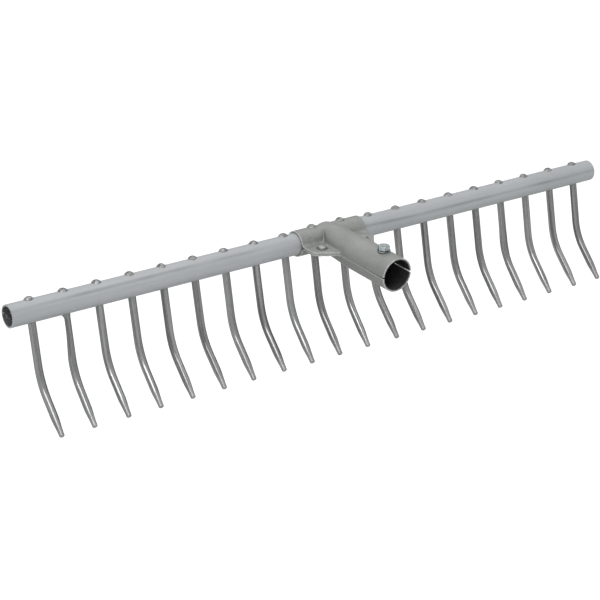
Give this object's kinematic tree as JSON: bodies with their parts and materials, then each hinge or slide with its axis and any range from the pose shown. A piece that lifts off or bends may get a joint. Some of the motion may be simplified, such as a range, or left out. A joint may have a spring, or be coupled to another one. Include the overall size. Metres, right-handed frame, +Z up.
{
  "type": "hay rake head",
  "caption": "Hay rake head: a steel tube with a row of riveted, forward-bent tines and a sloping two-shell handle socket with a clamp screw.",
  "frame": {"origin": "centre of the handle socket's mouth, on the socket's axis", "axes": "+X along the tube, +Z up along the tines' tenons to their heads, and the handle leaves towards -Y, 14.4 degrees below the level"},
  "size_m": [0.666, 0.119, 0.1215],
  "materials": {
    "galvanised_tube": "galvanised, satin",
    "galvanised_sheet": "galvanised, matt",
    "galvanised_tines": "galvanised, satin",
    "rivets": "galvanised, matt",
    "zinc_screw": "bright zinc plated"
  },
  "bodies": {
    "root": {"clamp_screw": "zinc_screw", "ear_rivet_left": "rivets", "ear_rivet_right": "rivets", "head_tube": "galvanised_tube", "lower_shell": "galvanised_sheet", "screw_washer": "zinc_screw", "tine_01": "galvanised_tines", "tine_02": "galvanised_tines", "tine_03": "galvanised_tines", "tine_04": "galvanised_tines", "tine_05": "galvanised_tines", "tine_06": "galvanised_tines", "tine_07": "galvanised_tines", "tine_08": "galvanised_tines", "tine_09": "galvanised_tines", "tine_10": "galvanised_tines", "tine_11": "galvanised_tines", "tine_12": "galvanised_tines", "tine_13": "galvanised_tines", "tine_14": "galvanised_tines", "tine_15": "galvanised_tines", "tine_16": "galvanised_tines", "tine_17": "galvanised_tines", "tine_18": "galvanised_tines", "tine_19": "galvanised_tines", "tine_20": "galvanised_tines", "upper_shell": "galvanised_sheet"}
  },
  "joints": []
}
